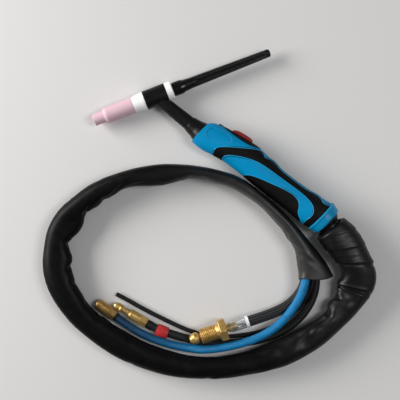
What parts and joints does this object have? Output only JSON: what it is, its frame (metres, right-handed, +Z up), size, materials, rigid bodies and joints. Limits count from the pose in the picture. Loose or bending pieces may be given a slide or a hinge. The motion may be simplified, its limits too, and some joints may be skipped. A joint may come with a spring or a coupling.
{
  "type": "tig torch",
  "caption": "Water-cooled TIG welding torch with long back cap, trigger handle, ball knuckle and a zipped sleeve over its hoses and control cable.",
  "frame": {"origin": "centre of the footprint of torch and knuckle on the floor, hoses and sleeve left out", "axes": "+Z up from the floor, +X along the long side of the lying torch towards the knuckle"},
  "size_m": [0.3861, 0.3832, 0.0407],
  "materials": {
    "black_moulding": "satin",
    "blue_plastic": "satin",
    "black_grip": "matt",
    "red_plastic": "satin",
    "white_gasket": "smooth",
    "alumina": "matt",
    "brass": "turned",
    "copper": "turned",
    "steel": "satin",
    "black_hose": "satin",
    "blue_braid": "braided",
    "sleeve": "grained",
    "clear_tube": "clear",
    "white_band": "smooth",
    "collar": "satin"
  },
  "bodies": {
    "torch": {"head_core": "brass", "head_moulding": "black_moulding", "front_gasket": "white_gasket", "rear_gasket": "white_gasket", "collet_body": "brass", "gas_pipe": "copper", "water_pipe": "copper", "power_pipe": "copper", "neck_boot": "black_moulding", "handle_shell_upper": "blue_plastic", "handle_shell_lower": "blue_plastic", "upper_grip_stripe": "black_grip", "lower_grip_stripe": "black_grip", "upper_palm_pad": "black_grip", "lower_palm_pad": "black_grip", "handle_screws": "steel", "rear_collar": "blue_plastic", "trigger_housing": "black_moulding", "trigger_pin": "steel", "switch_body": "black_moulding", "switch_pins": "steel", "switch_lead": "black_hose", "gas_hose_tail": "black_hose", "water_hose_tail": "black_hose", "power_hose_tail": "black_hose", "hose_clamps": "steel"},
    "cap_push": {"collet": "copper", "cap_oring": "black_hose"},
    "back_cap": {"back_cap": "black_moulding"},
    "nozzle": {"nozzle": "alumina"},
    "trigger": {"trigger_button": "red_plastic"},
    "plunger": {"switch_plunger": "red_plastic"},
    "cable": {"knuckle_ball": "collar", "sleeve_strap": "black_hose", "cable_sleeve": "sleeve", "gas_hose": "blue_braid", "gas_nipple": "brass", "gas_ferrule": "black_hose", "water_hose": "black_hose", "water_nipple": "brass", "water_ferrule": "black_hose", "power_hose": "black_hose", "power_hose_end": "clear_tube", "white_band": "white_band", "power_conductor": "copper", "power_nipple": "brass", "control_cable": "black_hose", "hose_tag": "red_plastic"},
    "gas_nut": {"gas_union_nut": "brass"},
    "water_nut": {"water_union_nut": "brass"},
    "power_nut": {"power_nut": "brass"}
  },
  "joints": [
    {"name": "cap_travel", "type": "slide", "parent": "torch", "child": "cap_push", "axis": [0.933, 0.36, 0], "range_m": [0, 0.00635]},
    {"name": "cap_turn", "type": "hinge", "parent": "cap_push", "child": "back_cap", "pos_m": [-0.02292, 0.0867, 0.01125], "axis": [0.933, 0.36, 0], "range_deg": [0, 1800]},
    {"name": "nozzle_turn", "type": "hinge", "parent": "torch", "child": "nozzle", "pos_m": [-0.12555, 0.0471, 0.01125], "axis": [-0.933, -0.36, 0], "range_deg": [0, 1080]},
    {"name": "trigger_press", "type": "hinge", "parent": "torch", "child": "trigger", "pos_m": [0.00972, 0.02053, 0.01463], "axis": [0.0165, -0.0429, -0.9989], "range_deg": [0, 4.5], "stiffness_Nm_per_rad": 1.2, "springref_deg": -1.15},
    {"name": "plunger_travel", "type": "slide", "parent": "torch", "child": "plunger", "axis": [-0.5681, -0.8226, 0.0259], "range_m": [0, 0.00142]},
    {"name": "knuckle_swing", "type": "hinge", "parent": "torch", "child": "cable", "pos_m": [0.11442, -0.076, 0.02051], "axis": [0, 0, 1], "range_deg": [0, 28]},
    {"name": "gas_nut_slide", "type": "slide", "parent": "cable", "child": "gas_nut", "axis": [-0.8009, 0.5988, 0], "range_m": [0, 0.0062]},
    {"name": "water_nut_slide", "type": "slide", "parent": "cable", "child": "water_nut", "axis": [-0.8626, 0.5058, 0], "range_m": [0, 0.0105]},
    {"name": "power_nut_spin", "type": "hinge", "parent": "cable", "child": "power_nut", "pos_m": [-0.01012, -0.20713, 0.01809], "axis": [-0.9542, -0.2945, 0.0523], "continuous": true}
  ],
  "couplings": [
    {"joint": "cap_turn", "follows": "cap_travel", "rad_per_m": 4947.4},
    {"joint": "plunger_travel", "follows": "trigger_press", "m_per_rad": 0.018}
  ]
}
